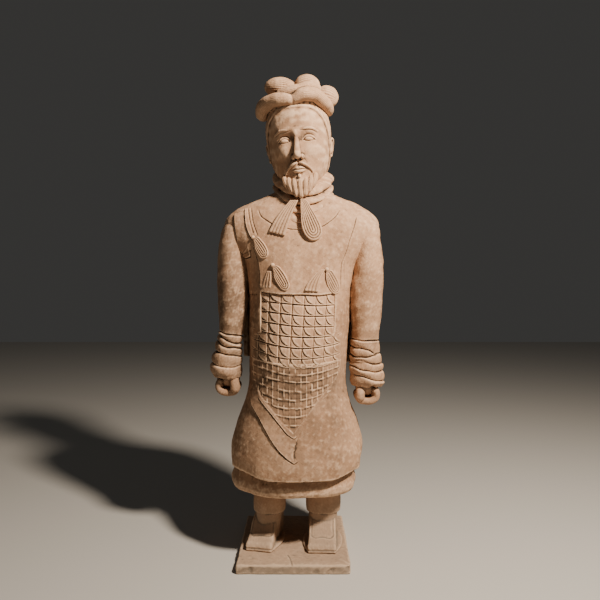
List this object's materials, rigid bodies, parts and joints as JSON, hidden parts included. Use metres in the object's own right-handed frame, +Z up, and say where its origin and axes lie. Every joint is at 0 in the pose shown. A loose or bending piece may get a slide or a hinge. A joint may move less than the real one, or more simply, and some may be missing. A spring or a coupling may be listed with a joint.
{
  "type": "terracotta warrior statue",
  "caption": "Life-size fired clay figure of a bearded armoured warrior, standing on a low square foot board with arms at its sides and fists hollowed for a grip.",
  "frame": {"origin": "centre of the foot board's underside", "axes": "+Z up through the figure, -Y the way it faces, +X towards its own left hand"},
  "size_m": [0.659, 0.464, 1.7994],
  "materials": {
    "plinth": "unglazed fired clay, dusty, worn edges",
    "body": "unglazed fired clay, dust and dark stains in the recesses",
    "head": "unglazed fired clay, dusty",
    "right_hand": "unglazed fired clay, dusty",
    "left_hand": "unglazed fired clay, dusty"
  },
  "bodies": {
    "root": {"plinth": "plinth", "body": "body", "head": "head", "right_hand": "right_hand", "left_hand": "left_hand"}
  },
  "joints": []
}
